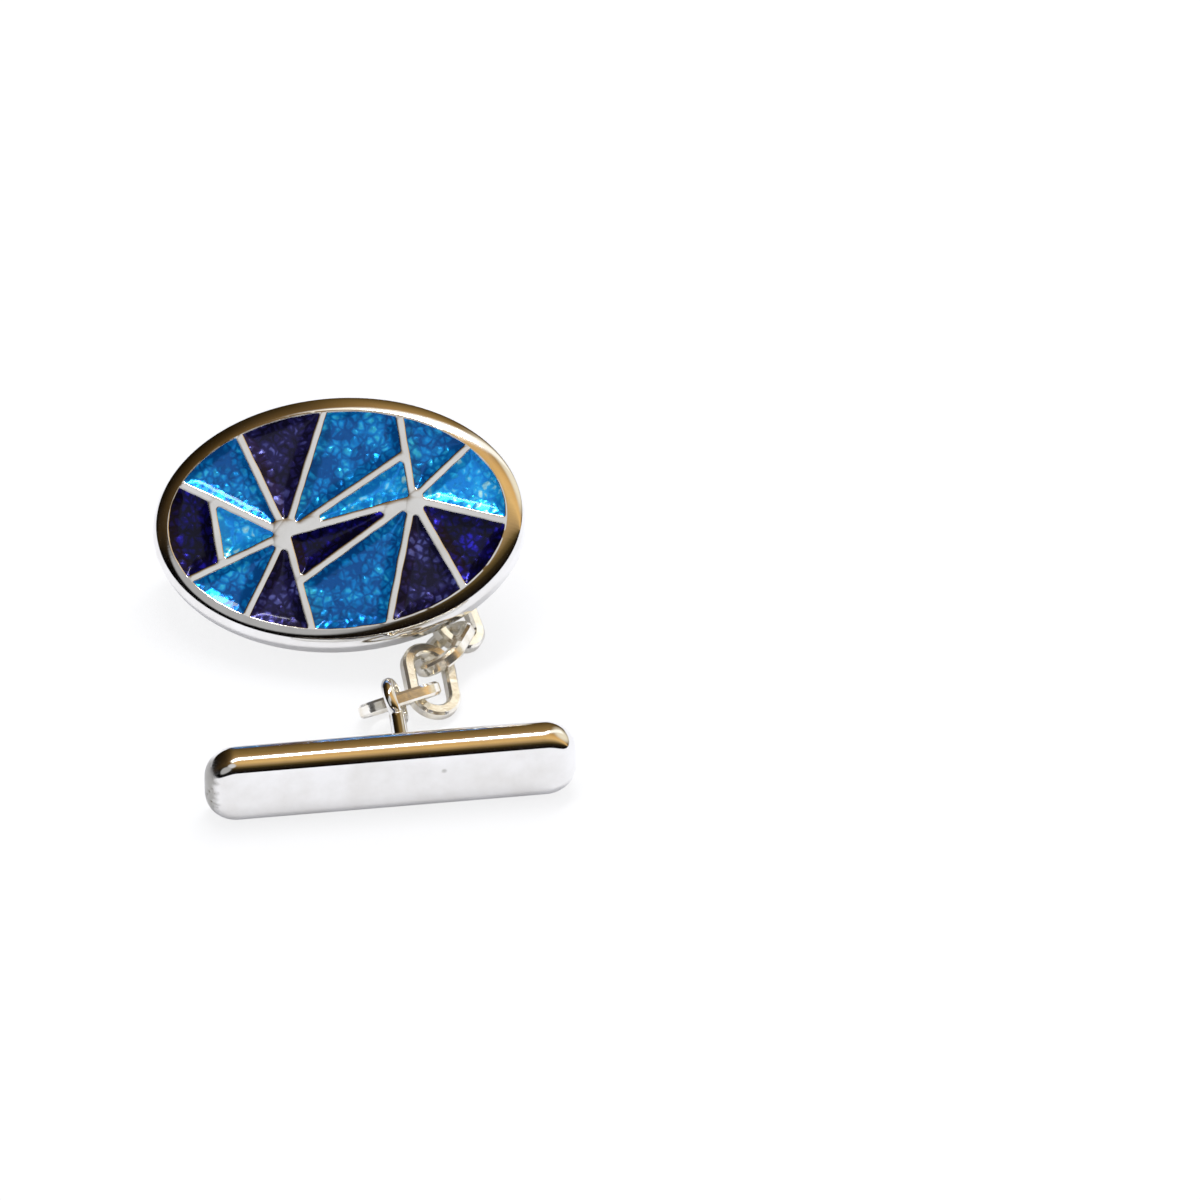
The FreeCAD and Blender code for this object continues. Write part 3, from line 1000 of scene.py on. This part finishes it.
@dataclass
class Bar:
    """Solid bar with round ends and well-rounded edges."""

    attitude: Attitude
    length: float = 18.7
    width: float = 4.1
    thickness: float = 2.0
    corner: float = 1.6
    corner_steps: int = 32
    edge_round: float = 0.75
    edge_depth: float = 0.96
    edge_steps: int = 16
    spacing: float = 0.12
    waviness: float = 0.006
    waviness_mm: float = 2.6
    waviness_fade: float = 0.6
    cast_from: float = -8.7
    cast_fade: float = 0.35
    cast_patch_mm: float = 0.2
    cast_seed: float = 1.9
    pits: tuple[Pit, ...] = (
        Pit((-9.12, -0.42, 0.72), 0.13, 0.07),
        Pit((-8.98, -0.1, 0.8), 0.11, 0.06),
        Pit((-9.2, 0.12, 0.6), 0.14, 0.07),
        Pit((-9.05, 0.45, 0.76), 0.1, 0.05),
        Pit((-8.8, -0.7, 0.88), 0.12, 0.05),
        Pit((-9.27, -0.2, 0.4), 0.12, 0.06),
        Pit((-8.75, 0.3, 0.92), 0.1, 0.05),
        Pit((2.6, 0.55, 1.0), 0.12, 0.05),
    )

    def outline(self) -> np.ndarray:
        """Works out the outer outline of the bar, seen on its face.

        Returns:
            Its points, anticlockwise.
        """
        points = []
        x, y = self.length / 2 - self.corner, self.width / 2 - self.corner
        bend = self.corner - SKIN_MM
        for number, (sx, sy) in enumerate(CORNERS):
            for k in range(self.corner_steps + 1):
                a = math.pi / 2 * (number + k / self.corner_steps)
                points.append((sx * x + bend * math.cos(a), sy * y + bend * math.sin(a)))
        return resample(np.array(points), self.spacing)

    def pitted(self, point: Point3, normal: Point3) -> Point3:
        """Sinks a point of the surface into the pits near it.

        Args:
            point: Point of the surface.
            normal: Way out of the bar there.

        Returns:
            The sunk point.
        """
        depth = sum(
            pit.depth * math.exp(-((math.dist(point, pit.middle) / pit.radius) ** 2)) for pit in self.pits
        )
        return tuple(p - n * depth for p, n in zip(point, normal))

    def cast_share(self, point: Vector) -> float:
        """How much casting skin is left at a point of the surface.

        Args:
            point: Point of the bar, in its own millimetres.

        Returns:
            A share from 0 to 1.
        """
        patchy = self.cast_patch_mm * ripple(point.y, point.z, self.cast_patch_mm, self.cast_seed)
        return min(1.0, max(0.0, (self.cast_from - point.x + patchy) / self.cast_fade))

    def form(self) -> Shell:
        """Builds the bar.

        Returns:
            The shell of the bar.
        """
        outline = self.outline()
        normal = outward(outline)
        half = self.thickness / 2
        rings = []
        for side in (1, -1):
            for a in quarter_turn(self.edge_steps)[::side]:
                inset = self.edge_round * (1 - math.sin(a))
                height = side * (half - self.edge_depth * (1 - math.cos(a)))
                ring = at_height(outline - normal * inset, height)
                ways = at_height(normal * math.sin(a), side * math.cos(a))
                rings.append([self.pitted(point, way) for point, way in zip(ring, ways)])
        shells = [skin(rings)]
        flat = outline - normal * self.edge_round
        points, faces = fill(flat, [], self.spacing)
        gap = np.minimum(edge_distance(points, flat) / self.waviness_fade, 1.0)
        for side in (1, -1):
            face = []
            for (x, y), g in zip(points, gap):
                sunk = self.waviness * float(g) * (1 + ripple(x, y, self.waviness_mm, side))
                face.append(self.pitted((float(x), float(y), side * (half - sunk)), (0.0, 0.0, side)))
            shells.append((face, faces))
        return join_shells(shells)

    def build(self, silver: Finish) -> None:
        """Makes the bar.

        Args:
            silver: Its finish.
        """
        place = seat("bar", self.attitude.matrix(), level=0.5)
        piece = make_piece("bar_polished", self.form(), place, "bar", "bar", silver, sharp=50)
        layer = piece.data.attributes.new(CAST_SKIN, "FLOAT", "POINT")
        to_local = place.inverted()
        for vertex, share in zip(piece.data.vertices, layer.data):
            share.value = self.cast_share(to_local @ vertex.co)


@dataclass(frozen=True)
class Card:
    """Pale card that shows in the metal: its colour, where it hangs and how far it reaches, in degrees."""

    colour: str
    towards: Point3
    inner: float
    outer: float


def facing(tree: Tree, way: Socket, towards: Point3, inner: float, outer: float) -> Node:
    """Finds a round, soft-edged patch of the mirrored room.

    Args:
        tree: Tree of the room.
        way: Direction of view.
        towards: Direction of the patch's middle.
        inner: Angle from the middle up to which the patch is whole.
        outer: Angle at which it has faded out.

    Returns:
        The node that gives the patch's share, from 0 to 1.
    """
    near = add_node(
        tree, "VectorMath", {0: way, 1: Vector(towards).normalized()}, operation="DOT_PRODUCT",
    )
    return add_node(
        tree, "MapRange",
        {"Value": near.outputs["Value"], "From Min": math.cos(math.radians(outer)),
         "From Max": math.cos(math.radians(inner))},
        interpolation_type="SMOOTHSTEP",
    )


@dataclass
class Studio:
    """White floor, soft room light and the camera."""

    elevation: float = 42.0
    aim_mm: Point3 = (11.9, 5.96, 0.0)
    pixels_per_mm: float = 19.7
    distance_mm: float = 900.0
    clip_m: Point2 = (0.05, 10.0)
    white: str = "ffffff"
    floor_mm: float = 1500.0
    floor_drop_mm: float = 0.01
    floor_colour: str = "f0f0f2"
    camera_clear: float = 0.8
    mirror_glow: float = 0.05
    ambient: float = 0.86
    ambient_colour: str = "f4f6ff"
    window_towards: Point3 = (0.065, 0.2, 0.98)
    window_along: Point3 = (0.66, 0.55, -0.5)
    window_mm: Point2 = (220.0, 36.0)
    window_distance_mm: float = 330.0
    window_watts: float = 0.6
    strip_colour: str = "fffaf0"
    strip_level: float = 1.3
    strip_towards: Point3 = (0.366, 0.351, 0.863)
    strip_across: Point3 = (-0.653, 0.757, -0.031)
    strip_offset: float = 0.09
    strip_half: Point2 = (0.06, 0.17)
    strip_reach: Point2 = (42.0, 47.0)
    # Tones of the room from the front, over the part, to the back
    wood: Stops = (
        (0.0, "0c0806"), (0.08, "120b06"), (0.2, "2f2410"), (0.27, "6a5630"), (0.34, "b89868"),
        (0.42, "f0c47e"), (0.5, "e8b872"), (0.6, "c0985e"), (0.74, "957745"), (0.86, "735a32"),
        (0.96, "5a4626"),
    )
    # Shade over the room from its left to its right
    shade: Stops = (
        (0.08, "3a3833"), (0.25, "57544c"), (0.36, "8e8b82"), (0.45, "e6e4de"), (0.6, "ffffff"),
    )
    cards: tuple[Card, ...] = (
        Card("e2e2e4", (-0.2, -0.46, 0.87), 9.0, 17.0),
        Card("b8b8ba", (-0.5, -0.66, 0.56), 15.0, 22.0),
        Card("fdf2d8", (0.76, 0.5, 0.42), 10.0, 34.0),
    )

    def paper(self) -> Finish:
        """Makes the floor's paper, which lets what hangs below it show.

        Returns:
            The finished material.
        """
        material, tree = new_material("white_paper_floor")
        paper = add_node(tree, "BsdfDiffuse", {"Color": linear(self.floor_colour)})
        glow = add_node(tree, "Emission", {"Color": linear(self.white), "Strength": 1.0})
        rays = add_node(tree, "LightPath").outputs
        seen = add_node(
            tree, "Math",
            {0: rays["Is Glossy Ray"], 1: rays["Is Transmission Ray"]}, operation="MAXIMUM",
        )
        mirrored = add_node(tree, "Math", {0: seen, 1: self.mirror_glow}, operation="MULTIPLY")
        lit = add_node(tree, "MixShader", {"Fac": mirrored, 1: paper, 2: glow})
        clear = add_node(
            tree, "Math", {0: rays["Is Camera Ray"], 1: self.camera_clear}, operation="MULTIPLY",
        )
        through = add_node(tree, "BsdfTransparent")
        mixed = add_node(tree, "MixShader", {"Fac": clear, 1: lit, 2: through})
        add_node(tree, "OutputMaterial", {"Surface": mixed})
        return material

    def floor(self) -> None:
        """Makes the white floor, which keeps a pale shadow of the part."""
        half, z = self.floor_mm * MM / 2, -self.floor_drop_mm * MM
        mesh = bpy.data.meshes.new("studio_floor")
        mesh.from_pydata([(sx * half, sy * half, z) for sx, sy in CORNERS], [], [(0, 1, 2, 3)])
        mesh.materials.append(self.paper())
        floor = add_object("studio_floor", mesh)

    def hang_strip(self, tree: Tree, way: Socket, room: Node) -> Node:
        """Hangs the long soft window over the part in the mirrored room.

        Args:
            tree: Tree of the room.
            way: Direction of view.
            room: Node that gives the room's colour so far.

        Returns:
            The node that gives the room's colour with the window.
        """
        across = add_node(
            tree, "VectorMath",
            {0: way, 1: Vector(self.strip_across).normalized()}, operation="DOT_PRODUCT",
        )
        aside = add_node(
            tree, "Math", {0: across.outputs["Value"], 1: self.strip_offset}, operation="SUBTRACT",
        )
        off = add_node(tree, "Math", {0: aside}, operation="ABSOLUTE")
        wide = add_node(
            tree, "MapRange",
            {"Value": off, "From Min": self.strip_half[1], "From Max": self.strip_half[0]},
            interpolation_type="SMOOTHSTEP",
        )
        long = facing(tree, way, self.strip_towards, *self.strip_reach)
        cover = add_node(tree, "Math", {0: wide, 1: long}, operation="MULTIPLY")
        glow = [self.strip_level * part for part in linear(self.strip_colour)[:3]] + [1.0]
        return add_node(tree, "MixRGB", {"Fac": cover, "Color1": room, "Color2": glow})

    def room(self) -> None:
        """Makes the room that the metal mirrors: warm wood, darker to the left, with cards and a window."""
        world = bpy.data.worlds.new("studio_room")
        bpy.context.scene.world = world
        world.use_nodes = True
        tree = world.node_tree
        tree.nodes.clear()
        way = add_node(tree, "TexCoord").outputs["Generated"]
        parts = add_node(tree, "SeparateXYZ", {0: way}).outputs
        front = add_node(tree, "Math", {0: parts["Y"], 1: -1.0}, operation="MULTIPLY")
        sweep = add_node(tree, "Math", {0: parts["Z"], 1: front}, operation="ARCTAN2")
        turn = add_node(tree, "Math", {0: sweep, 1: math.pi}, operation="DIVIDE")
        wood = add_node(tree, "ValToRGB", {"Fac": turn})
        set_ramp(wood, self.wood)
        side = add_node(tree, "MapRange", {"Value": parts["X"], "From Min": -1.0, "From Max": 1.0})
        shade = add_node(tree, "ValToRGB", {"Fac": side})
        set_ramp(shade, self.shade)
        colour = add_node(
            tree, "MixRGB", {"Fac": 1.0, "Color1": wood, "Color2": shade}, blend_type="MULTIPLY",
        )
        for card in self.cards:
            cover = facing(tree, way, card.towards, card.inner, card.outer)
            colour = add_node(
                tree, "MixRGB", {"Fac": cover, "Color1": colour, "Color2": linear(card.colour)},
            )
        colour = self.hang_strip(tree, way, colour)
        rays = add_node(tree, "LightPath").outputs
        mirrored = add_node(tree, "Background", {"Color": colour, "Strength": 1.0})
        light = add_node(
            tree, "Background", {"Color": linear(self.ambient_colour), "Strength": self.ambient},
        )
        mixed = add_node(tree, "MixShader", {"Fac": rays["Is Glossy Ray"], 1: light, 2: mirrored})
        backdrop = add_node(tree, "Background", {"Color": linear(self.white), "Strength": 1.0})
        shown = add_node(tree, "MixShader", {"Fac": rays["Is Camera Ray"], 1: mixed, 2: backdrop})
        add_node(tree, "OutputWorld", {"Surface": shown})

    def window(self) -> None:
        """Makes the long soft lamp over the part, which gives the white glints."""
        light = bpy.data.lights.new("window_lamp", "AREA")
        light.shape = "RECTANGLE"
        light.size, light.size_y = (side * MM for side in self.window_mm)
        light.energy = self.window_watts
        lamp = add_object("window_lamp", light)
        towards = Vector(self.window_towards).normalized()
        along = Vector(self.window_along)
        along = (along - towards * along.dot(towards)).normalized()
        turn = Matrix((along, towards.cross(along), towards)).transposed().to_4x4()
        lamp.matrix_world = Matrix.Translation(towards * self.window_distance_mm * MM) @ turn

    def camera(self) -> None:
        """Makes the long-lens camera at the photograph's angle and framing."""
        data = bpy.data.cameras.new("camera")
        data.lens = data.sensor_width * self.distance_mm * self.pixels_per_mm / PHOTO_PIXELS
        data.clip_start, data.clip_end = self.clip_m
        camera = add_object("camera", data)
        tilt = math.radians(self.elevation)
        back = Vector((0.0, -math.cos(tilt), math.sin(tilt)))
        camera.location = (Vector(self.aim_mm) + back * self.distance_mm) * MM
        camera.rotation_euler = (-back).to_track_quat("-Z", "Y").to_euler()
        bpy.context.scene.camera = camera

    def build(self) -> None:
        """Sets up floor, room, lamp, camera and the plain view transform."""
        bpy.context.scene.view_settings.view_transform = "Standard"
        self.floor()
        self.room()
        self.window()
        self.camera()


def main() -> None:
    """Builds the cufflink and its studio in order."""
    logging.basicConfig(level=logging.INFO, format="%(name)s: %(message)s")
    polished = SterlingSilver("polished_sterling_silver").build()
    cast = SterlingSilver("polished_sterling_silver_with_cast_end", cast="a3a19b").build()
    filed = SterlingSilver(
        "filed_sterling_silver", bright="faf7ee", dull="ebe3cf", metal=0.9, roughness_low=0.1,
        roughness_high=0.24, cloud_mm=0.9, grain_mm=0.22, grain_depth_mm=0.01,
    ).build()
    solder = SterlingSilver(
        "silver_solder", bright="e8e2d4", dull="a89c84", roughness_low=0.14, roughness_high=0.3,
    ).build()
    enamels = {blue: FiredEnamel(blue).build() for blue in Blue}

    head_attitude = Attitude(-3.5, -6.8, 36.1)
    bar_attitude = Attitude(7.0, 0.0, 89.9)
    Head(head_attitude).build(polished, enamels)
    WireEye("head", head_attitude, about_post=-104.2, post_mm=2.7).build(polished, solder)
    Chain([
        Attitude(-42.3, 6.7, 12.9),
        Attitude(-48.3, -4.3, 85.6),
        Attitude(-72.0, 13.6, -21.8),
        Attitude(-107.1, -10.3, 35.9),
        Attitude(-79.7, 15.3, -18.3),
        Attitude(-154.5, -0.2, 46.9),
    ]).build(filed)
    Bar(bar_attitude).build(cast)
    WireEye("bar", bar_attitude, about_post=-20.6, post_mm=2.75).build(polished, solder)
    Studio().build()


if __name__ == "__main__":
    main()
